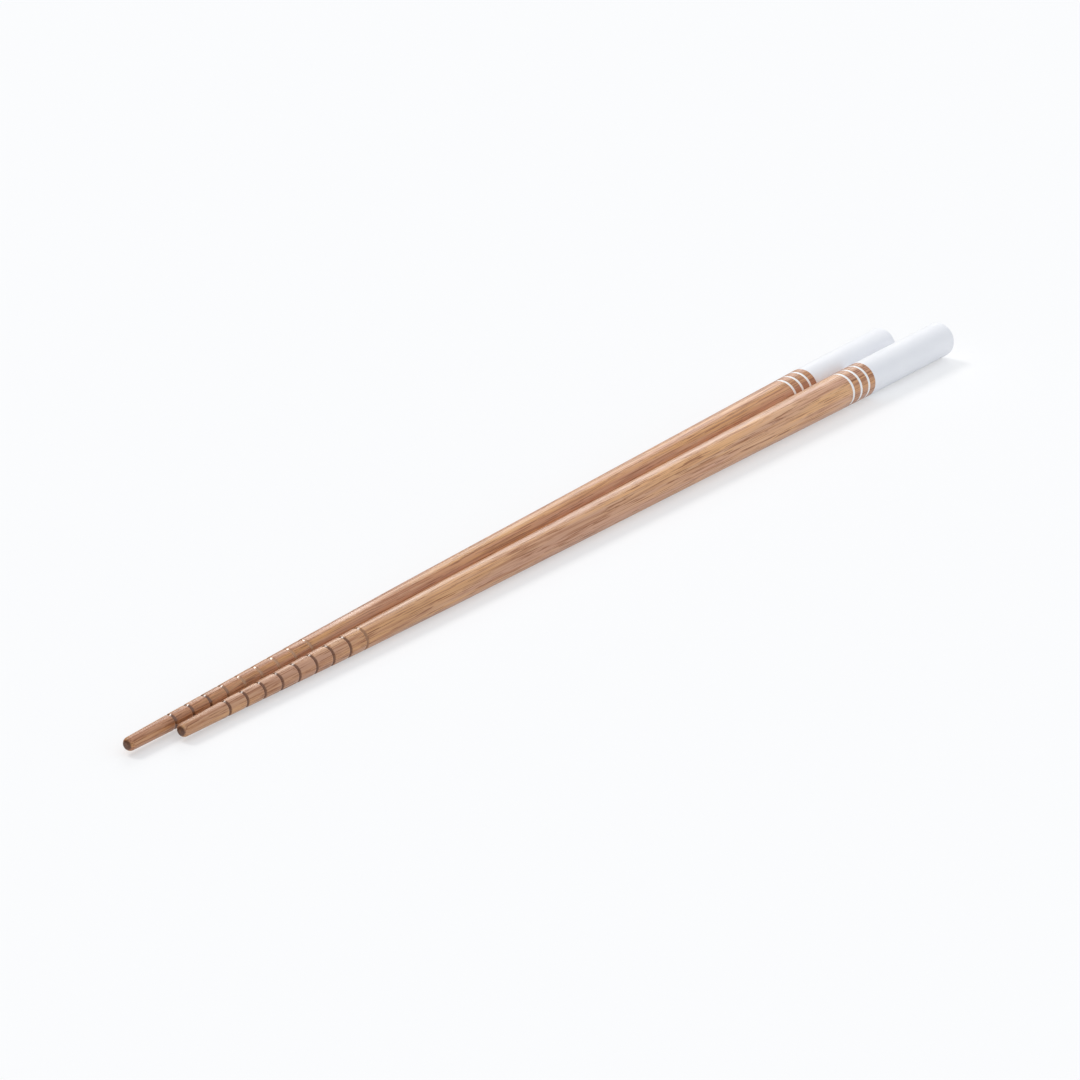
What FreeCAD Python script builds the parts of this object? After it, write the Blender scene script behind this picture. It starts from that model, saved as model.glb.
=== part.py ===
import FreeCAD, Part
import math
import os

from FreeCAD import Placement, Rotation, Vector

# A pair of turned bamboo chopsticks with white lacquered ends, lying side by side on a table. Millimetres.
# The origin is on the table, under the middle of the pair. +X runs towards the white ends, +Z up.

# The turned stick, both alike: a quick taper, a slow taper, and a straight end under the lacquer
stick_length = 240.0
tip_diameter = 2.4
waist_diameter = 4.7
butt_diameter = 7.0
waist_from_tip = 61.0
taper_blend_length = 28.0
tip_flat_diameter = 0.5
butt_rim_radius = 0.6

# Grip grooves near the tip, turned with a pointed tool
groove_count = 9
first_groove_from_tip = 11.6
groove_pitch = 4.6
groove_width = 0.8
groove_depth = 0.28

# White lacquer: a closed coat over the butt, and ring lines that fill notches of their own
white_end_length = 29.95
lacquer_thickness = 0.15
tenon_chamfer = 0.35
ring_count = 3
ring_pitch = 2.75
last_ring_to_white_end = 2.1
ring_notch_width = 0.9
ring_notch_depth = 0.2
ring_sink = 0.05

# How the pair lies: the front stick further back, with narrow gaps where the two come closest
tip_stagger = 9.65
gap_at_waist = 0.05
gap_at_white_ends = 0.3

# Worked out from the sizes above
tip_radius = tip_diameter / 2
waist_radius = waist_diameter / 2
butt_radius = butt_diameter / 2
tip_rim_radius = tip_radius - tip_flat_diameter / 2
white_end_start = stick_length - white_end_length
blend_start = waist_from_tip - taper_blend_length / 2
blend_end = waist_from_tip + taper_blend_length / 2
tip_slope = (waist_radius - tip_radius) / waist_from_tip
handle_slope = (butt_radius - waist_radius) / (white_end_start - waist_from_tip)
full_turn = 360.0
stick_axis = Vector(1, 0, 0)


def slope_at(station):
    """How fast the radius grows at a distance from the tip: even on each taper, and changing evenly
    along the blend between them."""
    share = min(max((station - blend_start) / taper_blend_length, 0.0), 1.0)
    return tip_slope + share * (handle_slope - tip_slope)


def radius_at(station):
    """Radius of the turned form at a distance from the tip, up to the white end."""
    if station <= blend_start:
        return tip_radius + tip_slope * station
    if station >= blend_end:
        return butt_radius - handle_slope * (white_end_start - station)
    mean_slope = (tip_slope + slope_at(station)) / 2
    return radius_at(blend_start) + mean_slope * (station - blend_start)


def on_profile(station):
    """Point of the half profile."""
    return Vector(station, 0, radius_at(station))


def on_axis(station):
    return Vector(station, 0, 0)


def lines(*points):
    """Straight profile edges from point to point."""
    return [Part.LineSegment(start, end).toShape() for start, end in zip(points, points[1:])]


def taper(start, end):
    """Profile from one station to another, with its own smooth edge for each taper and for the blend."""
    inside = [station for station in (blend_start, blend_end) if start < station < end]
    stops = [start] + inside + [end]
    edges = []
    for low, high in zip(stops, stops[1:]):
        half = (high - low) / 2
        tangents_meet = Vector(low + half, 0, radius_at(low) + slope_at(low) * half)
        curve = Part.BezierCurve()
        curve.setPoles([on_profile(low), tangents_meet, on_profile(high)])
        edges.append(curve.toShape())
    return edges


def rim(before, corner, after, radius):
    """Rounded edge of a rim, tangent to the straight edges that would meet in the corner."""
    back = (before - corner).normalize()
    onward = (after - corner).normalize()
    half_angle = back.getAngle(onward) / 2
    reach = radius / math.tan(half_angle)
    middle = corner + (back + onward).normalize() * (radius / math.sin(half_angle) - radius)
    return Part.Arc(corner + back * reach, middle, corner + onward * reach).toBSpline().toShape()


def turned(edges):
    """Solid of revolution about the stick's axis, from the closed half profile."""
    return Part.Face(Part.Wire(edges)).revolve(on_axis(0), stick_axis, full_turn)


def notch_corners(station, width, depth):
    """Near lip, bottom and far lip of a V notch."""
    bottom = Vector(station, 0, radius_at(station) - depth)
    return on_profile(station - width / 2), bottom, on_profile(station + width / 2)


def groove_stations():
    return [first_groove_from_tip + number * groove_pitch for number in range(groove_count)]


def ring_stations():
    """Middles of the ring lines, from the one nearest the tip to the one nearest the white end."""
    last_ring = white_end_start - last_ring_to_white_end
    return [last_ring - number * ring_pitch for number in reversed(range(ring_count))]


def notches():
    """Every notch of the profile, from the tip on, as station, width and depth."""
    grip = [(station, groove_width, groove_depth) for station in groove_stations()]
    rings = [(station, ring_notch_width, ring_notch_depth) for station in ring_stations()]
    return grip + rings


def make_stick():
    """The bamboo in one piece, turned from its whole half profile."""
    tenon_radius = butt_radius - lacquer_thickness
    tenon_end = stick_length - lacquer_thickness
    tip_rim = rim(on_axis(0), on_profile(0), on_profile(blend_start), tip_rim_radius)
    face_edge = tip_rim.Vertexes[0].Point
    here = tip_rim.Vertexes[-1].X
    edges = lines(on_axis(0), face_edge) + [tip_rim]
    for station, width, depth in notches():
        edges += taper(here, station - width / 2)
        edges += lines(*notch_corners(station, width, depth))
        here = station + width / 2
    edges += taper(here, white_end_start)
    edges += lines(
        on_profile(white_end_start),
        Vector(white_end_start, 0, tenon_radius),
        Vector(tenon_end - tenon_chamfer, 0, tenon_radius),
        Vector(tenon_end, 0, tenon_radius - tenon_chamfer),
        on_axis(tenon_end),
        on_axis(0),
    )
    return turned(edges)


def make_white_end():
    """The lacquer coat: a closed cup that fits the tenon and carries on the stick's own surface."""
    inner_radius = butt_radius - lacquer_thickness
    inner_end = stick_length - lacquer_thickness
    mouth = Vector(white_end_start, 0, butt_radius)
    corner = Vector(stick_length, 0, butt_radius)
    butt_rim = rim(mouth, corner, on_axis(stick_length), butt_rim_radius)
    edges = lines(mouth, butt_rim.Vertexes[0].Point) + [butt_rim]
    edges += lines(
        butt_rim.Vertexes[-1].Point,
        on_axis(stick_length),
        on_axis(inner_end),
        Vector(inner_end, 0, inner_radius - tenon_chamfer),
        Vector(inner_end - tenon_chamfer, 0, inner_radius),
        Vector(white_end_start, 0, inner_radius),
        mouth,
    )
    return turned(edges)


def make_ring(station):
    """Lacquer that fills a notch to just under the bamboo's surface."""
    filled = 1 - ring_sink / ring_notch_depth
    near_lip, bottom, far_lip = notch_corners(station, ring_notch_width, ring_notch_depth)
    near = bottom + (near_lip - bottom) * filled
    far = bottom + (far_lip - bottom) * filled
    return turned(lines(bottom, near, far, bottom))


def resting_places():
    """Placement of each stick: its slow taper lies along the table, and the pair is splayed evenly."""
    rear_tip_x = -(stick_length + tip_stagger) / 2
    front_tip_x = rear_tip_x + tip_stagger
    waist_x = front_tip_x + waist_from_tip
    white_x = rear_tip_x + white_end_start
    waist_spacing = radius_at(waist_from_tip) + radius_at(waist_from_tip + tip_stagger) + gap_at_waist
    white_spacing = butt_radius + radius_at(white_end_start - tip_stagger) + gap_at_white_ends
    splay = math.atan2(white_spacing - waist_spacing, 2 * (white_x - waist_x))
    lift = math.atan(handle_slope)
    tip_height = (waist_radius - handle_slope * waist_from_tip) * math.cos(lift)
    places = {}
    for name, side, tip_x in (("front", -1, front_tip_x), ("rear", 1, rear_tip_x)):
        tip_y = side * (waist_spacing / 2 - (waist_x - tip_x) * math.tan(splay))
        about_z = Rotation(Vector(0, 0, 1), math.degrees(side * splay))
        about_y = Rotation(Vector(0, 1, 0), -math.degrees(lift))
        places[name] = Placement(Vector(tip_x, tip_y, tip_height), about_z * about_y)
    return places


def export(shape, place, node):
    """Write one sub-part where it lies."""
    placed = shape.copy()
    placed.Placement = place
    placed.exportStep(os.path.join("parts", node + ".step"))
    print(node, "volume", round(placed.Volume, 3), "valid", placed.isValid())


os.makedirs("parts", exist_ok=True)
stick = make_stick()
white_end = make_white_end()
rings = [make_ring(station) for station in ring_stations()]
for name, place in resting_places().items():
    export(stick, place, name + "_stick")
    export(white_end, place, name + "_white_end")
    for number, ring in enumerate(rings, start=1):
        export(ring, place, name + "_ring_" + str(number))
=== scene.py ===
# %% [markdown]
# # A pair of bamboo chopsticks
# Two turned bamboo sticks with white lacquered ends lie side by side on a pale table. Every piece is a body
# of revolution. They could be made from cylinders that are scaled and cut, but one tool shapes them all more
# exactly: a half profile of a few corners, spun about the axis of its stick. The first cell brings in the
# modelling tools and the finished solids that set every size.

# %% Tools and the solids
import math

import bmesh
import bpy
from mathutils import Euler, Matrix, Vector


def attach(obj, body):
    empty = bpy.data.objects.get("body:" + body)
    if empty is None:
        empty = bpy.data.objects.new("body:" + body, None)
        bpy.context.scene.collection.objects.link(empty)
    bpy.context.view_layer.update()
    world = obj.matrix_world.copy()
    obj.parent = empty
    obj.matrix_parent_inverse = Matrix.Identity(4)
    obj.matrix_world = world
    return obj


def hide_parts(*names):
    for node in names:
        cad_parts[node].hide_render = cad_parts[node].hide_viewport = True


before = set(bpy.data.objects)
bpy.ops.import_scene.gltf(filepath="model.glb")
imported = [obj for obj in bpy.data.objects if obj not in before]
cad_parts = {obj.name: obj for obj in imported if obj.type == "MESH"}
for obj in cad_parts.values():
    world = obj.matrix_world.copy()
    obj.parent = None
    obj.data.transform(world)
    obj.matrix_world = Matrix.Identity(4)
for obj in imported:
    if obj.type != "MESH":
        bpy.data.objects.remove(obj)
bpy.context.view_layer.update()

# %% [markdown]
# ## Sizes of one stick
# A chopstick is read by its profile: a quick taper at the thin end that eats, a long blend, then a slow taper
# along the hand. The profile could be drawn by eye. Named sizes keep both sticks alike and can be checked
# against the solids. They are in metres, along the stick's axis from the tip.

# %% Sizes of one stick
MM = 0.001
STICK_LENGTH = 240 * MM
TIP_RADIUS = 1.2 * MM
WAIST_RADIUS = 2.35 * MM
BUTT_RADIUS = 3.5 * MM
WAIST_FROM_TIP = 61 * MM
TAPER_BLEND = 28 * MM
WHITE_END_LENGTH = 29.95 * MM

WHITE_START = STICK_LENGTH - WHITE_END_LENGTH
TIP_SLOPE = (WAIST_RADIUS - TIP_RADIUS) / WAIST_FROM_TIP
HANDLE_SLOPE = (BUTT_RADIUS - WAIST_RADIUS) / (WHITE_START - WAIST_FROM_TIP)
for part, slope in (("thin end", TIP_SLOPE), ("handle", HANDLE_SLOPE)):
    print(part, "tapers by", round(math.degrees(math.atan(slope)), 2), "degrees")

# %% [markdown]
# ## The turned form
# A groove's lip or a ring line sits at the radius that the stick has there. The radius could be read off a
# finished mesh. A function of the station is exact, and can be asked before there is any mesh.

# %% The turned form
BLEND_START = WAIST_FROM_TIP - TAPER_BLEND / 2
BLEND_END = WAIST_FROM_TIP + TAPER_BLEND / 2


def radius_at(station):
    """Radius of the turned form at a distance from the tip."""
    if station >= WHITE_START:
        return BUTT_RADIUS
    if station >= BLEND_END:
        return BUTT_RADIUS - HANDLE_SLOPE * (WHITE_START - station)
    past = max(station - BLEND_START, 0.0)
    bend = (HANDLE_SLOPE - TIP_SLOPE) * past ** 2 / (2 * TAPER_BLEND)
    return TIP_RADIUS + TIP_SLOPE * station + bend


for where, station in (("tip", 0.0), ("waist", WAIST_FROM_TIP), ("white end", WHITE_START)):
    print("diameter at the", where, round(2 * radius_at(station) / MM, 2), "mm")

# %% [markdown]
# ## Sizes of the cuts
# Nine grip grooves near the tip keep food from slipping, and three notches near the white end carry ring
# lines. They could be painted on, but a real cut catches light and shade. Each is a V with a station, a width
# and a depth, and the stations follow from a pitch, as a turner would step them off.

# %% Sizes of the cuts
GROOVE_COUNT, FIRST_GROOVE_IN_MM, GROOVE_PITCH_IN_MM = 9, 11.6, 4.6
GROOVE_WIDTH = 0.8 * MM
GROOVE_DEPTH = 0.28 * MM
RING_COUNT, LAST_RING_TO_WHITE_IN_MM, RING_PITCH_IN_MM = 3, 2.1, 2.75
RING_NOTCH_WIDTH = 0.9 * MM
RING_NOTCH_DEPTH = 0.2 * MM

GROOVE_STATIONS = [(FIRST_GROOVE_IN_MM + GROOVE_PITCH_IN_MM * number) * MM
                   for number in range(GROOVE_COUNT)]
RING_STATIONS = [WHITE_START - (LAST_RING_TO_WHITE_IN_MM + RING_PITCH_IN_MM * number) * MM
                 for number in reversed(range(RING_COUNT))]
for cuts, stations in (("grooves", GROOVE_STATIONS), ("ring lines", RING_STATIONS)):
    print(len(stations), cuts, "from", round(stations[0] / MM, 2), "to", round(stations[-1] / MM, 2), "mm")

# %% [markdown]
# ## Where the sticks lie
# Each stick rests on the underside of its slow taper, so its thin end is lifted a little off the table. The
# front stick lies further back, and the pair is splayed by less than a degree. The two places could be set by
# trial, but then the sticks might float or cut into each other, so they are worked out from the radii.

# %% Resting places
STAGGER = 9.65 * MM
GAP_AT_WAIST = 0.05 * MM
GAP_AT_WHITE_ENDS = 0.3 * MM

rear_tip_x = -(STICK_LENGTH + STAGGER) / 2
front_tip_x = rear_tip_x + STAGGER
waist_x = front_tip_x + WAIST_FROM_TIP
white_x = rear_tip_x + WHITE_START
waist_spacing = radius_at(WAIST_FROM_TIP) + radius_at(WAIST_FROM_TIP + STAGGER) + GAP_AT_WAIST
white_spacing = BUTT_RADIUS + radius_at(WHITE_START - STAGGER) + GAP_AT_WHITE_ENDS
splay = math.atan2(white_spacing - waist_spacing, 2 * (white_x - waist_x))
lift = math.atan(HANDLE_SLOPE)
tip_height = (WAIST_RADIUS - HANDLE_SLOPE * WAIST_FROM_TIP) * math.cos(lift)

PLACES = {}
for name, side, tip_x in (("front", -1, front_tip_x), ("rear", 1, rear_tip_x)):
    tip_y = side * (waist_spacing / 2 - (waist_x - tip_x) * math.tan(splay))
    PLACES[name] = Vector((tip_x, tip_y, tip_height)), Euler((0, -lift, side * splay))
    print(name, "tip at", [round(c / MM, 2) for c in PLACES[name][0]], "mm")

# %% [markdown]
# ## A chain of corners
# The half profile is a chain of corners, and corners that a tool or sandpaper has eased are rounded while
# they are still a chain. The finished solid could be bevelled instead, but a chain has one vertex where the
# solid has a whole ring of them. Each V notch adds three corners: two lips and a bottom.

# %% A chain of corners
def chain(corners, closed=False):
    """A bmesh with the corners, (station, radius) each, joined in a row."""
    bm = bmesh.new()
    verts = [bm.verts.new((station, 0, radius)) for station, radius in corners]
    for start, end in zip(verts, verts[1:]):
        bm.edges.new((start, end))
    if closed:
        bm.edges.new((verts[-1], verts[0]))
    return bm, verts


def ease(bm, verts, reach, steps):
    """Rounds these corners of the chain; each rounding starts this far before its corner."""
    bmesh.ops.bevel(bm, geom=verts, offset=reach, segments=steps, profile=0.5,
                    affect="VERTICES", material=-1)


def notch(station, width, depth):
    """Near lip, bottom and far lip of a V notch."""
    near, far = station - width / 2, station + width / 2
    return (near, radius_at(near)), (station, radius_at(station) - depth), (far, radius_at(far))


groove_angle = 2 * math.atan(GROOVE_WIDTH / 2 / GROOVE_DEPTH)
print("a grip groove opens to", round(math.degrees(groove_angle)), "degrees")

# %% [markdown]
# ## The spin
# The lathe itself is one operator, which turns the chain a full circle in even steps. A Screw modifier could
# do the same. The operator leaves a plain mesh at once, whose normals can be made to point outwards and whose
# sharp edges can be marked, so that lips stay crisp while the tapers look smooth.

# %% The spin
AXIS = Vector((1, 0, 0))
TURN_STEPS = 144
MERGE_WITHIN = 0.002 * MM
SHARP_ANGLE = math.radians(35)


def spin(bm):
    """Spins the chain a full turn about the stick's axis."""
    bmesh.ops.spin(bm, geom=bm.verts[:] + bm.edges[:], cent=(0, 0, 0), axis=AXIS, dvec=(0, 0, 0),
                   angle=math.tau, steps=TURN_STEPS, use_merge=True, use_duplicate=False)
    bmesh.ops.remove_doubles(bm, verts=bm.verts, dist=MERGE_WITHIN)
    bmesh.ops.recalc_face_normals(bm, faces=bm.faces)
    for face in bm.faces:
        face.smooth = True
    for edge in bm.edges:
        edge.smooth = edge.calc_face_angle(0.0) < SHARP_ANGLE


print("each step of the turn is", round(math.tau * BUTT_RADIUS / TURN_STEPS / MM, 3), "mm wide on the butt")

# %% [markdown]
# ## Marks for the finish
# On the real stick a cut bares darker wood, and the tip's face shows open fibre ends; the finish darkens both
# places, in part with painted shade. The finish could guess those places from its own coordinates, but the
# turner knows them exactly. So each vertex carries two numbers: how deep it is cut, and how near it is to the
# middle of the tip.

# %% Marks for the finish
TIP_RIM = 0.95 * MM


def mark(bm):
    """Cut depth in mm, and end grain from 0 at the tip's rim to 1 on the axis."""
    cut = bm.verts.layers.float.new("cut_depth")
    end_grain = bm.verts.layers.float.new("end_grain")
    for vert in bm.verts:
        radius = math.hypot(vert.co.y, vert.co.z)
        if vert.co.x > TIP_RIM:
            vert[cut] = (radius_at(vert.co.x) - radius) / MM
        else:
            vert[end_grain] = 1 - radius / TIP_RADIUS


print("end grain is marked over the first", round(TIP_RIM / MM, 2), "mm")

# %% [markdown]
# ## Laid on the table
# A turned piece lies along the X axis, with its tip at the origin. The object could be moved to its place.
# Its mesh is moved instead, so that every piece lies in the one frame that the solids use, with its object at
# the origin, and patterns stay where they are.

# %% Laid on the table
def put_in_scene(name, data):
    """An object of this name at the origin."""
    thing = bpy.data.objects.new(name, data)
    bpy.context.scene.collection.objects.link(thing)
    return thing


def turn_piece(bm, name, place):
    """Spins the chain, marks it and lays the piece in its place."""
    spin(bm)
    mark(bm)
    at, turn = place
    bmesh.ops.transform(bm, matrix=Matrix.LocRotScale(at, turn, None), verts=bm.verts)
    mesh = bpy.data.meshes.new(name)
    bm.to_mesh(mesh)
    bm.free()
    print(name, len(mesh.polygons), "faces")
    return put_in_scene(name, mesh)


for name, (at, turn) in PLACES.items():
    butt = Matrix.LocRotScale(at, turn, None) @ (AXIS * STICK_LENGTH)
    print(name, "butt at", [round(c / MM, 2) for c in butt], "mm")

# %% [markdown]
# ## The profile of the bamboo
# One piece of bamboo is turned from end to end: a rounded tip with a very small flat, nine grip grooves, the
# long shaft, three notches for the ring lines, and a slightly thinner end that the lacquer covers. Cutting
# the notches out of a cone would take booleans. In the profile each is only three more corners.

# %% The profile of the bamboo
LACQUER = 0.15 * MM
TENON_CHAMFER = 0.35 * MM
MID_HANDLE = 140 * MM
TENON_RADIUS = BUTT_RADIUS - LACQUER
TENON_END = STICK_LENGTH - LACQUER

bamboo_corners = [(0, 0), (0, TIP_RADIUS)]
for station in GROOVE_STATIONS:
    bamboo_corners += notch(station, GROOVE_WIDTH, GROOVE_DEPTH)
waist_corner = len(bamboo_corners)
bamboo_corners += [(WAIST_FROM_TIP, WAIST_RADIUS), (MID_HANDLE, radius_at(MID_HANDLE))]
first_ring_corner = len(bamboo_corners)
for station in RING_STATIONS:
    bamboo_corners += notch(station, RING_NOTCH_WIDTH, RING_NOTCH_DEPTH)
white_corner = len(bamboo_corners)
bamboo_corners += [
    (WHITE_START, BUTT_RADIUS), (WHITE_START, TENON_RADIUS), (TENON_END - TENON_CHAMFER, TENON_RADIUS),
    (TENON_END, TENON_RADIUS - TENON_CHAMFER), (TENON_END, 0),
]
print("corners of the bamboo's half profile", len(bamboo_corners))

# %% [markdown]
# ## The bamboo sticks
# On the real stick nothing is knife sharp: the tip is sanded round, the waist is one long sweep, and the lips
# of the grooves are worn. A bevel modifier could ease all edges alike. Each group of corners gets its own
# reach here, from fourteen millimetres at the waist to a twentieth of one at the ring notches.

# %% The bamboo sticks
GROOVE_LIP = 0.12 * MM
GROOVE_BOTTOM = 0.08 * MM
RING_LIP = 0.05 * MM


def turn_bamboo(name, place):
    bm, verts = chain(bamboo_corners)
    grooves, notches = verts[2:waist_corner], verts[first_ring_corner:white_corner]
    ease(bm, [verts[1]], TIP_RIM, steps=9)
    ease(bm, [verts[waist_corner]], TAPER_BLEND / 2, steps=12)
    ease(bm, grooves[0::3] + grooves[2::3], GROOVE_LIP, steps=4)
    ease(bm, grooves[1::3], GROOVE_BOTTOM, steps=3)
    ease(bm, notches[0::3] + notches[2::3], RING_LIP, steps=2)
    return turn_piece(bm, name, place)


STICKS = {}
for name, place in PLACES.items():
    stick = turn_bamboo(name + "_bamboo", place)
    STICKS[name] = stick
    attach(stick, "root")
    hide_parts(name + "_stick")

# %% [markdown]
# ## The white ends
# The last thirty millimetres are dipped in white lacquer. The coat is thin, closed over the butt, and ends in
# a crisp edge flush with the bamboo. It could be a change of colour on the bamboo. It is a cup with a real
# wall instead, whose edge catches a fine line of light, where paint alone would look printed.

# %% The white ends
COAT_EDGE = 0.05 * MM
BUTT_RIM = 0.6 * MM


def turn_white_end(name, place):
    bm, verts = chain([
        (TENON_END, 0), (TENON_END, TENON_RADIUS - TENON_CHAMFER),
        (TENON_END - TENON_CHAMFER, TENON_RADIUS), (WHITE_START, TENON_RADIUS),
        (WHITE_START, BUTT_RADIUS), (STICK_LENGTH, BUTT_RADIUS), (STICK_LENGTH, 0),
    ])
    mouth, butt = verts[4], verts[5]
    ease(bm, [mouth], COAT_EDGE, steps=3)
    ease(bm, [butt], BUTT_RIM, steps=8)
    return turn_piece(bm, name, place)


WHITE_ENDS = {}
for name, place in PLACES.items():
    end = turn_white_end(name + "_coat", place)
    WHITE_ENDS[name] = end
    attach(end, "root")
    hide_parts(name + "_white_end")

# %% [markdown]
# ## The ring lines
# Three white lines lie in notches of their own. The lacquer clings to the walls of a notch and sinks in its
# middle. A plain triangle would fill the notch with a flat face. One more corner in the middle, eased wide,
# makes the face hollow, and its wall on the tip side falls into a fine grey shade.

# %% The ring lines
RING_SINK = 0.05 * MM
RING_HOLLOW = 0.05 * MM
HOLLOW_REACH = 0.25 * MM


def turn_ring(name, station, place):
    corners = notch(station, RING_NOTCH_WIDTH, RING_NOTCH_DEPTH)
    near_lip, bottom, far_lip = [Vector(corner) for corner in corners]
    filled = 1 - RING_SINK / RING_NOTCH_DEPTH
    near, far = bottom.lerp(near_lip, filled), bottom.lerp(far_lip, filled)
    middle = near.lerp(far, 0.5) - Vector((0, RING_HOLLOW))
    bm, verts = chain([bottom, near, middle, far], closed=True)
    ease(bm, [verts[2]], HOLLOW_REACH, steps=5)
    return turn_piece(bm, name, place)


RINGS = {name: [] for name in PLACES}
for name, place in PLACES.items():
    for number, station in enumerate(RING_STATIONS, start=1):
        ring = turn_ring(f"{name}_line_{number}", station, place)
        RINGS[name].append(ring)
        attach(ring, "root")
        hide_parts(f"{name}_ring_{number}")

# %% [markdown]
# ## New finishes and their nodes
# A finish is a small tree of nodes that ends in a shader. It could be wired by hand in the editor. Wired in
# code, the same few helpers serve bamboo, lacquer, table and light, and both sticks get the same recipe.

# %% New finishes and their nodes
def new_finish(name):
    """A material, its node tree and the shader that already stands in it."""
    material = bpy.data.materials.new(name)
    material.use_nodes = True
    return material, material.node_tree, material.node_tree.nodes["Principled BSDF"]


def add(tree, kind, **settings):
    """A new node with its settings."""
    node = tree.nodes.new(kind)
    for key, value in settings.items():
        setattr(node, key, value)
    return node


def calculate(tree, operation, first, second, **settings):
    """A Math node on a socket and a second socket or plain number."""
    node = add(tree, "ShaderNodeMath", operation=operation, **settings)
    tree.links.new(first, node.inputs[0])
    if isinstance(second, (int, float)):
        node.inputs[1].default_value = second
    else:
        tree.links.new(second, node.inputs[1])
    return node.outputs[0]


BAMBOO = {name: new_finish(name + "_bamboo_finish") for name in PLACES}
TREES = {name: tree for name, (material, tree, shader) in BAMBOO.items()}
for name, (material, tree, shader) in BAMBOO.items():
    STICKS[name].data.materials.append(material)
    print(material.name, "is on", STICKS[name].name)

# %% [markdown]
# ## Coordinates of a stick
# Bamboo is a bundle of fibres that run the whole length, so its pattern is solid, not a skin. A picture could
# be wrapped round the stick and would show a seam. Object coordinates, turned by a Mapping node to lie along
# each stick, carry the pattern right through the wood, from the tip's face to the white end.

# %% Coordinates of a stick
def along_stick(tree, place):
    """Object coordinates turned into the stick's own: along its axis from the tip, and across."""
    at, turn = place
    source = add(tree, "ShaderNodeTexCoord")
    mapping = add(tree, "ShaderNodeMapping", vector_type="TEXTURE")
    mapping.inputs["Location"].default_value = at
    mapping.inputs["Rotation"].default_value = turn
    tree.links.new(source.outputs["Object"], mapping.inputs["Vector"])
    return mapping.outputs["Vector"]


ALONG = {name: along_stick(TREES[name], place) for name, place in PLACES.items()}
for name, place in PLACES.items():
    print(name, "pattern turned by", [round(math.degrees(angle), 2) for angle in place[1]], "degrees")

# %% [markdown]
# ## Fibres
# Along the stick a fibre is a long thin dash, and on the tip's face the same fibre is a dot. Thin cylinders
# could be modelled by the thousand. Noise that is drawn out along the axis gives both looks at once, and
# five sorts of it make up this bamboo: a broad drift of tone, pale lines, streaks, fine threads and dashes.

# %% Fibres
SEED_DIRECTION = (1.0, 1.7, 0.6)


def fibres(tree, along, length, width, detail, seed):
    """Noise drawn out along the stick: each fleck is about this long and this wide, in metres."""
    stretch = add(tree, "ShaderNodeMapping", vector_type="POINT")
    stretch.inputs["Location"].default_value = [seed * share for share in SEED_DIRECTION]
    stretch.inputs["Scale"].default_value = (1 / length, 1 / width, 1 / width)
    noise = add(tree, "ShaderNodeTexNoise")
    noise.inputs["Scale"].default_value = 1.0
    noise.inputs["Detail"].default_value = detail
    tree.links.new(along, stretch.inputs["Vector"])
    tree.links.new(stretch.outputs["Vector"], noise.inputs["Vector"])
    return noise.outputs["Fac"]


SEEDS = {"front": 2.0, "rear": 11.0}
FIBRE_SORTS = {  # length, width, detail, and the step from the stick's seed
    "broad": (42 * MM, 1.5 * MM, 2, 0),
    "pale": (30 * MM, 0.3 * MM, 1, 5),
    "streaks": (20 * MM, 0.32 * MM, 3, 3),
    "threads": (45 * MM, 0.13 * MM, 1, 9),
    "dashes": (9 * MM, 0.18 * MM, 2, 7),
}
FLECKS = {name: {} for name in PLACES}
for sort, (length, width, detail, step) in FIBRE_SORTS.items():
    for name, seed in SEEDS.items():
        FLECKS[name][sort] = fibres(TREES[name], ALONG[name], length, width, detail, seed + step)
    print("fibres,", sort + ":", round(length / width), "times as long as wide")

# %% [markdown]
# ## Ramps and mixes
# Noise is only a grey drift. A ramp turns it into tones, or cuts it into separate flecks, and a mix lays one
# tone over another. A painted picture could hold such tones too, but a ramp stays sharp at any distance and
# has two or three stops to adjust.

# %% Ramps and mixes
def grey(level):
    return (level, level, level)


def ramp(tree, value, stops):
    """Colour from a value, through (position, colour) stops; a plain number is a grey."""
    node = add(tree, "ShaderNodeValToRGB")
    stops = [(at, grey(tone) if isinstance(tone, (int, float)) else tone) for at, tone in stops]
    elements = node.color_ramp.elements
    elements[0].position, elements[-1].position = stops[0][0], stops[-1][0]
    elements[0].color, elements[-1].color = (*stops[0][1], 1), (*stops[-1][1], 1)
    for position, colour in stops[1:-1]:
        elements.new(position).color = (*colour, 1)
    tree.links.new(value, node.inputs["Fac"])
    return node.outputs["Color"]


def mix(tree, share, base, over, blend="MIX"):
    """Two colours mixed; share, base and over are sockets or plain values."""
    node = add(tree, "ShaderNodeMix", data_type="RGBA", blend_type=blend)
    for socket, value in ((node.inputs[0], share), (node.inputs[6], base), (node.inputs[7], over)):
        if isinstance(value, (int, float)):
            socket.default_value = value
        elif isinstance(value, tuple):
            socket.default_value = (*value, 1)
        else:
            tree.links.new(value, socket)
    return node.outputs[2]


TONE_STOPS = 0.38, 0.5, 0.62
BODY_TONES = {
    "front": ((0.64, 0.36, 0.24), (0.69, 0.39, 0.225), (0.77, 0.43, 0.2)),
    "rear": ((0.59, 0.285, 0.165), (0.65, 0.325, 0.165), (0.71, 0.375, 0.15)),
}
body = {name: ramp(TREES[name], FLECKS[name]["broad"], list(zip(TONE_STOPS, tones)))
        for name, tones in BODY_TONES.items()}
print("body tones from the broad drift on", list(body))

# %% [markdown]
# ## Fibres laid over the body
# Toasted bamboo is a pale honey with lighter lines between its fibres, brown streaks and nearly black short
# dashes. The far stick is redder than the near one. All could be one noise with a long ramp, but then every
# dark dash would sit inside a streak. Separate layers, each with its own seed, cross freely as fibres do.

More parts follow.
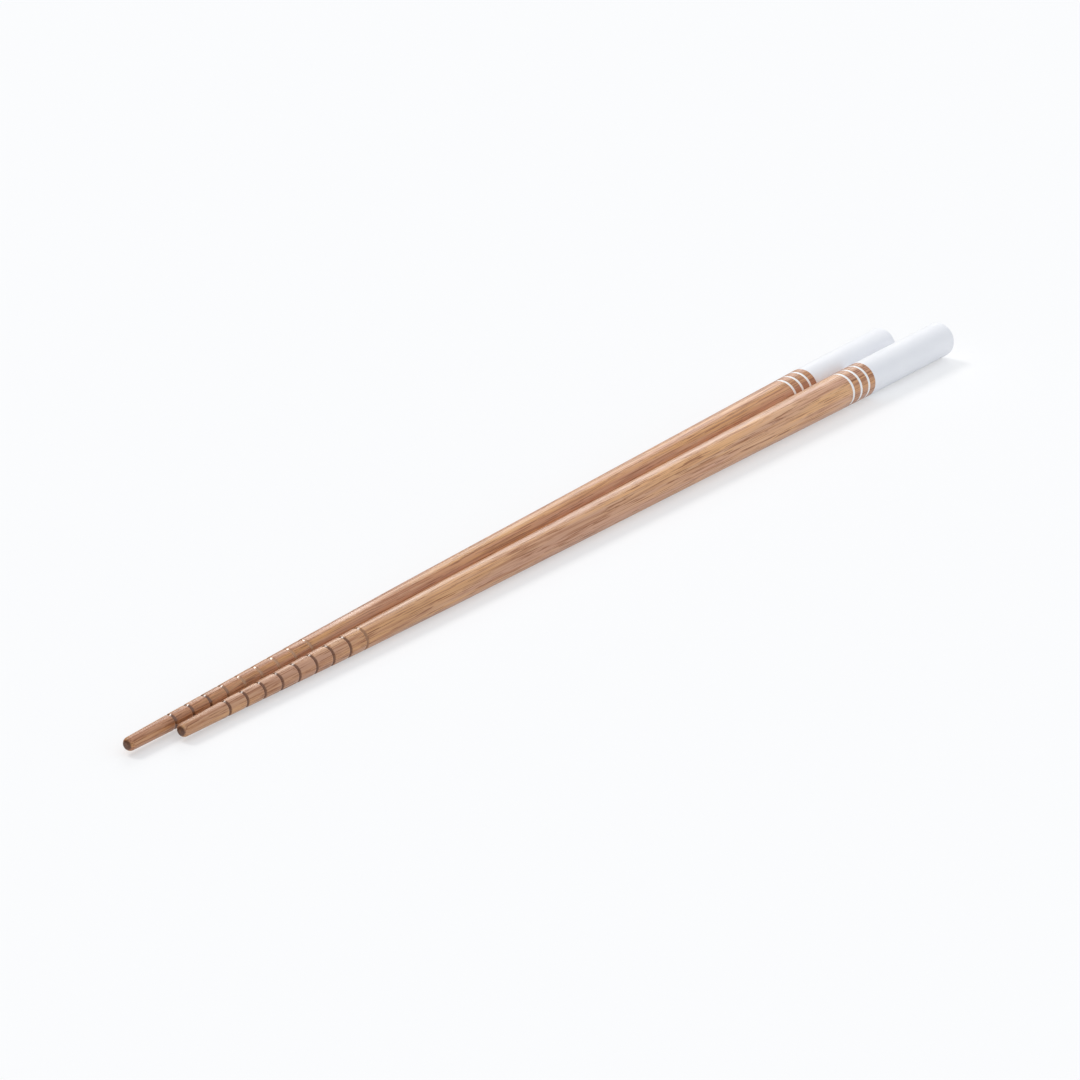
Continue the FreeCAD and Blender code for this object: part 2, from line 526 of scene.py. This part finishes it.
# %% Fibres laid over the body
PALE_LINE, DASH_BROWN = (0.76, 0.49, 0.31), (0.34, 0.13, 0.045)
STREAK_TONES = {"front": (0.46, 0.2, 0.095), "rear": (0.39, 0.155, 0.065)}
for name, streak_tone in STREAK_TONES.items():
    tree = TREES[name]
    for sort, stops, tone in (
        ("pale", [(0.57, 0), (0.68, 0.4)], PALE_LINE),
        ("streaks", [(0.37, 0.75), (0.47, 0)], streak_tone),
        ("threads", [(0.3, 0.6), (0.42, 0)], streak_tone),
        ("dashes", [(0.38, 0.95), (0.42, 0)], DASH_BROWN),
    ):
        body[name] = mix(tree, ramp(tree, FLECKS[name][sort], stops), body[name], tone)
        print(name, sort, "laid over with a share of up to", max(share for at, share in stops))

# %% [markdown]
# ## Toasting
# The sticks were toasted unevenly: brownest at the tip and palest along the handle. From the first ring line
# to the white end the ramp darkens them again, in the strips between the ring lines. A lamp's shadow could
# darken the tip, but the tone is in the wood, so a ramp along the stick multiplies the body's colour. The
# position runs from 0 at the tip to 1 at the butt.

# %% Toasting
TONES_ALONG_STICK = [
    (0.0, (0.78, 0.73, 0.68)), (0.25, (0.88, 0.84, 0.79)), (0.55, (0.95, 0.93, 0.90)),
    (0.838, (1, 1, 1)), (0.845, (0.85, 0.78, 0.74)),
]
position = {}
for name in PLACES:
    tree = TREES[name]
    split = add(tree, "ShaderNodeSeparateXYZ")
    tree.links.new(ALONG[name], split.inputs[0])
    position[name] = calculate(tree, "MULTIPLY", split.outputs["X"], 1 / STICK_LENGTH)
    body[name] = mix(tree, 1.0, body[name], ramp(tree, position[name], TONES_ALONG_STICK), "MULTIPLY")
print("strips between the ring lines start at", round(TONES_ALONG_STICK[-1][0] * STICK_LENGTH / MM, 1), "mm")

# %% [markdown]
# ## Scorched and shaded cuts
# The tool's friction burns the wood, and the dark in the cuts is partly painted shade in the recesses, on the
# walls of the ring notches too: on the near stick all grip grooves but the last are almost black. On the far
# stick only the first few are, and the others look freshly cut, nearly as pale as the body. Each cut could be
# a ring of its own colour. The cut depth that each vertex carries finds them all, and lets the dark fade in
# at the lips.

# %% Scorched and shaded cuts
# The dark cut tones are partly burnt wood and partly painted shade in the recesses.
BURNT_AND_SHADED, BROWNED_AND_SHADED, FRESH = (0.125, 0.04, 0.014), (0.33, 0.165, 0.085), (0.5, 0.275, 0.145)
CUT_TONES = {
    "front": [(0.185, BURNT_AND_SHADED), (0.2, BROWNED_AND_SHADED)],
    "rear": [(0.09, BURNT_AND_SHADED), (0.13, FRESH), (0.3, FRESH), (0.5, BROWNED_AND_SHADED)],
}
BURN_AND_SHADE_BY_DEPTH = [(0.02, 0), (0.07, 0.6), (0.14, 0.85)]
cut_depth = {}
for name, cut_tones in CUT_TONES.items():
    tree = TREES[name]
    cut_depth[name] = add(tree, "ShaderNodeAttribute", attribute_name="cut_depth").outputs["Fac"]
    # Burn and painted shade: darker with depth in the grooves and on the walls of the ring notches.
    burn_and_shade = ramp(tree, cut_depth[name], BURN_AND_SHADE_BY_DEPTH)
    body[name] = mix(tree, burn_and_shade, body[name], ramp(tree, position[name], cut_tones))
    print(name, "cuts have", len(cut_tones), "tones along the stick")

# %% [markdown]
# ## End grain
# The tip's face is cut across the fibres, and open ends soak up stain and finish; painted shade adds to the
# dark, most in a ring inside the rim, so the face is nearly black. A disc of dark colour would end in a hard
# line. The end grain that each vertex carries rises from the rim to the middle, so the dark face fades out
# over the sanded rim.

# %% End grain
# Stain soaked into the end grain plus painted shade on the tip's face, darkest in a ring inside the rim.
SOAKED_AND_SHADED_BROWN = (0.085, 0.03, 0.016)
SOAKED_AND_SHADED_BY_END_GRAIN = [(0.18, 0), (0.38, 0.9), (0.6, 0.85), (1.0, 0.65)]
for name, (material, tree, shader) in BAMBOO.items():
    end_grain = add(tree, "ShaderNodeAttribute", attribute_name="end_grain").outputs["Fac"]
    body[name] = mix(tree, ramp(tree, end_grain, SOAKED_AND_SHADED_BY_END_GRAIN), body[name], SOAKED_AND_SHADED_BROWN)
    tree.links.new(body[name], shader.inputs["Base Color"])
    print(name, "colour reaches", shader.name)

# %% [markdown]
# ## Oil and wax
# An oiled stick has a soft sheen, a little duller on the dark streaks, and wax from polishing gathers in the
# cuts, where it glints on the far stick. A second material in the cuts would need its own faces. The cut
# depth can lower the roughness and raise the coat instead.

# %% Oil and wax
SHEEN_BY_STREAK = [(0.3, 0.42), (0.7, 0.32)]
WAXED_BY_DEPTH = [(0.02, 0), (0.06, 1)]
CUT_ROUGHNESS, WAX_ROUGHNESS = 0.2, 0.2
WAX = {"front": 0.15, "rear": 0.8}
for name, (material, tree, shader) in BAMBOO.items():
    sheen = ramp(tree, FLECKS[name]["streaks"], SHEEN_BY_STREAK)
    waxed = ramp(tree, cut_depth[name], WAXED_BY_DEPTH)
    tree.links.new(mix(tree, waxed, sheen, grey(CUT_ROUGHNESS)), shader.inputs["Roughness"])
    tree.links.new(mix(tree, waxed, grey(0), grey(WAX[name])), shader.inputs["Coat Weight"])
    shader.inputs["Coat Roughness"].default_value = WAX_ROUGHNESS
    print(name, "cuts hold wax with a weight of", WAX[name])

# %% [markdown]
# ## Grain that can be felt
# The dashes are tiny pores, a few hundredths of a millimetre deep. Real hollows of that size would take
# millions of faces. A weak bump from the same noise as the dashes puts each pore's shade on its dark fleck.

# %% Grain that can be felt
def feel(tree, shader, height, strength, depth):
    """Bump from a height, as deep as this in metres."""
    bump = add(tree, "ShaderNodeBump")
    bump.inputs["Strength"].default_value = strength
    bump.inputs["Distance"].default_value = depth
    tree.links.new(height, bump.inputs["Height"])
    tree.links.new(bump.outputs["Normal"], shader.inputs["Normal"])


PORE_STRENGTH, PORE_DEPTH = 0.25, 0.03 * MM
for name, (material, tree, shader) in BAMBOO.items():
    feel(tree, shader, FLECKS[name]["dashes"], PORE_STRENGTH, PORE_DEPTH)
    print(material.name, "has", len(tree.nodes), "nodes")

# %% [markdown]
# ## White lacquer
# The ends are a satin white with a cool cast, and the ring lines are a warmer white. Dipped lacquer is never
# quite even. One flat white would look like plastic, so a soft mottle moves its tone by a percent or two, and
# a very low orange peel breaks up the sheen.

# %% White lacquer
COOL_WHITES = (0.88, 0.888, 0.925), (0.905, 0.913, 0.945)
WARM_WHITES = (0.94, 0.93, 0.915), (0.96, 0.95, 0.94)
MOTTLE_STOPS = 0.3, 0.7
SATIN = 0.6, 0.52
PEEL_STRENGTH, PEEL_DEPTH = 0.15, 0.01 * MM


def lacquer_finish(name, place, seed, tones):
    material, tree, shader = new_finish(name)
    along = along_stick(tree, place)
    mottle = fibres(tree, along, length=6 * MM, width=2.5 * MM, detail=3, seed=seed)
    tree.links.new(ramp(tree, mottle, list(zip(MOTTLE_STOPS, tones))), shader.inputs["Base Color"])
    tree.links.new(ramp(tree, mottle, list(zip(MOTTLE_STOPS, SATIN))), shader.inputs["Roughness"])
    peel = fibres(tree, along, length=0.7 * MM, width=0.5 * MM, detail=2, seed=seed + 5)
    feel(tree, shader, peel, PEEL_STRENGTH, PEEL_DEPTH)
    return material


LACQUER_SEEDS = {"front": 4.0, "rear": 9.0}
for name, seed in LACQUER_SEEDS.items():
    coat_finish = lacquer_finish(name + "_coat_finish", PLACES[name], seed, COOL_WHITES)
    WHITE_ENDS[name].data.materials.append(coat_finish)
    line_finish = lacquer_finish(name + "_line_finish", PLACES[name], seed, WARM_WHITES)
    for ring in RINGS[name]:
        ring.data.materials.append(line_finish)
    print(coat_finish.name, "is on 1 piece,", line_finish.name, "on", len(RINGS[name]))

# %% [markdown]
# ## The sheet
# The photographer's table is a plain white sheet. It could be curved up behind the pair as a sweep. A single
# large plane is enough, because the camera looks down far enough never to see its edge.

# %% The sheet
SHEET_HALF_WIDTH = 3.0
bm = bmesh.new()
bmesh.ops.create_grid(bm, x_segments=1, y_segments=1, size=SHEET_HALF_WIDTH)
sheet_mesh = bpy.data.meshes.new("table")
bm.to_mesh(sheet_mesh)
bm.free()
table = put_in_scene("table", sheet_mesh)
print("table", table.dimensions.x, "m wide")

# %% [markdown]
# ## The sheet's finish
# The sheet is as good as white in the picture, and the shadow on it is pale. Brighter paper could not do that
# without lighting the sticks from below as well. So a part of the sheet's white is a glow that only a look
# at it can see, directly, in a reflection or through glass, and that lights nothing.

# %% The sheet's finish
SHEET_GLOW = 0.47
SHEET_WHITE, GLOW_WHITE = (0.955, 0.957, 0.965, 1), (0.985, 0.99, 1.0, 1)
material, tree, paper = new_finish("white_sheet")
paper.inputs["Base Color"].default_value = SHEET_WHITE
paper.inputs["Roughness"].default_value = 1.0
paper.inputs["Specular IOR Level"].default_value = 0.0
glow = add(tree, "ShaderNodeEmission")
glow.inputs["Color"].default_value = GLOW_WHITE
glow.inputs["Strength"].default_value = 1.0

ray = add(tree, "ShaderNodeLightPath").outputs
looked_at = calculate(tree, "MAXIMUM", ray["Is Camera Ray"], ray["Is Glossy Ray"])
looked_at = calculate(tree, "MAXIMUM", looked_at, ray["Is Transmission Ray"])
sheet = add(tree, "ShaderNodeMixShader")
tree.links.new(calculate(tree, "MULTIPLY", looked_at, SHEET_GLOW), sheet.inputs[0])
tree.links.new(paper.outputs[0], sheet.inputs[1])
tree.links.new(glow.outputs[0], sheet.inputs[2])
tree.links.new(sheet.outputs[0], tree.nodes["Material Output"].inputs["Surface"])
sheet_mesh.materials.append(material)
print("share of glow in the sheet", SHEET_GLOW)

# %% [markdown]
# ## The light tent
# The pair was lit from all round through white cloth with a cool cast. An even sky would burn out the white
# ends from behind and flatten them in front. This tent leans: by the direction of the light alone, it is
# brightest overhead and on the viewer's side, and dim behind the pair, where the white ends need an edge.

# %% The light tent
TENT_WHITE = (0.935, 0.965, 1.0, 1)
TENT_HORIZON = 0.29
TENT_LEAN = (0.14, -0.35, 0.58)
world = bpy.data.worlds.new("tent")
bpy.context.scene.world = world
world.use_nodes = True
tent = world.node_tree.nodes["Background"]
tent.inputs["Color"].default_value = TENT_WHITE
direction = add(world.node_tree, "ShaderNodeTexCoord")
lean = add(world.node_tree, "ShaderNodeVectorMath", operation="DOT_PRODUCT")
lean.inputs[1].default_value = TENT_LEAN
world.node_tree.links.new(direction.outputs["Generated"], lean.inputs[0])
level = calculate(world.node_tree, "ADD", lean.outputs["Value"], TENT_HORIZON, use_clamp=True)
world.node_tree.links.new(level, tent.inputs["Strength"])
print("tent is brightest at", round(min(TENT_HORIZON + Vector(TENT_LEAN).length, 1), 2))

# %% [markdown]
# ## The lamps
# One large soft lamp hangs high behind the pair, so the shadow falls towards the viewer and fades within a
# few millimetres. A second, lower one stands opposite the viewer and draws the highlight along the upper
# edges. Area lamps would light the sheet unevenly, so both are suns with a wide disc.

# %% The lamps
WARM_LIGHT = (1.0, 0.97, 0.93)


def soft_lamp(name, lamp_from, on_table, disc_in_degrees):
    """A far lamp with a wide disc; on_table is the tone that it alone gives a white table."""
    data = bpy.data.lights.new(name, "SUN")
    toward = Vector(lamp_from).normalized()
    data.energy = on_table * math.pi / toward.z
    data.angle = math.radians(disc_in_degrees)
    data.color = WARM_LIGHT
    put_in_scene(name, data).rotation_euler = toward.to_track_quat("Z", "Y").to_euler()
    height = round(math.degrees(math.asin(toward.z)), 1)
    print(name, "height in degrees", height, "energy", round(data.energy, 2))


soft_lamp("key_lamp", (0.05, 0.6, 0.75), on_table=0.27, disc_in_degrees=20)
soft_lamp("back_lamp", (0.765, 0.52, 0.47), on_table=0.09, disc_in_degrees=28)

# %% [markdown]
# ## The camera
# In the picture the sticks grow wider towards their far ends nearly as much as they really do, so perspective
# takes little away. A near camera with a wide lens would make them look parallel. A long lens from nearly a
# metre away keeps them right. It looks down by some twenty degrees and stands on the tips' side.

# %% The camera
CAMERA_AT = Vector((-718.1, -499.93, 338.37)) * MM
CAMERA_YAW = math.radians(35.19)
CAMERA_PITCH = math.radians(-21.199)
LENS_IN_MM, SENSOR_IN_MM = 170.79, 36.0
NEAREST, FARTHEST = 0.05, 20.0
camera_data = bpy.data.cameras.new("camera")
camera_data.lens, camera_data.sensor_width = LENS_IN_MM, SENSOR_IN_MM
camera_data.clip_start, camera_data.clip_end = NEAREST, FARTHEST
camera = put_in_scene("camera", camera_data)
camera.location = CAMERA_AT
camera.rotation_euler = (math.pi / 2 + CAMERA_PITCH, 0, CAMERA_YAW - math.pi / 2)
bpy.context.scene.camera = camera
bpy.context.scene.view_settings.view_transform = "Standard"
print("camera", round(CAMERA_AT.length, 3), "m from the middle of the pair")
